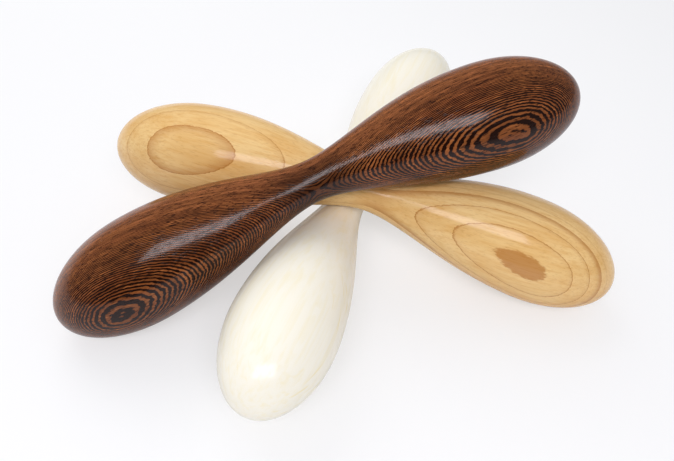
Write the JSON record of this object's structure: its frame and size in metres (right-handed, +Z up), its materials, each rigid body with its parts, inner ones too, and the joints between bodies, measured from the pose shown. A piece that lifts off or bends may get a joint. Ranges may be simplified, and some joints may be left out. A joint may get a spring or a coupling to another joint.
{
  "type": "claves",
  "caption": "Bowed double-bulb hardwood claves, laid loosely across one another at their slim waists; held and struck together for a bright click.",
  "frame": {"origin": "centre of the footprint of the stacked set, on the table that it lies on", "axes": "+X to the right, towards the cherry clave's end that lies on the table; +Y towards the back, towards the maple clave's far end; +Z up"},
  "size_m": [0.2006, 0.1898, 0.0807],
  "materials": {
    "maple": "clear gloss varnish over pale, almost figureless maple",
    "cherry": "clear gloss varnish over honey cherry with thin darker rings",
    "wenge": "clear gloss varnish over dark wenge with fine black and brown bands"
  },
  "bodies": {
    "maple": {"maple_clave": "maple"},
    "cherry": {"cherry_clave": "cherry"},
    "wenge": {"wenge_clave": "wenge"}
  },
  "joints": [
    {"name": "cherry_lift", "type": "slide", "parent": "maple", "child": "cherry", "axis": [0, 0, 1], "range_m": [0, 0.1]},
    {"name": "wenge_lift", "type": "slide", "parent": "cherry", "child": "wenge", "axis": [0, 0, 1], "range_m": [0, 0.1]}
  ]
}
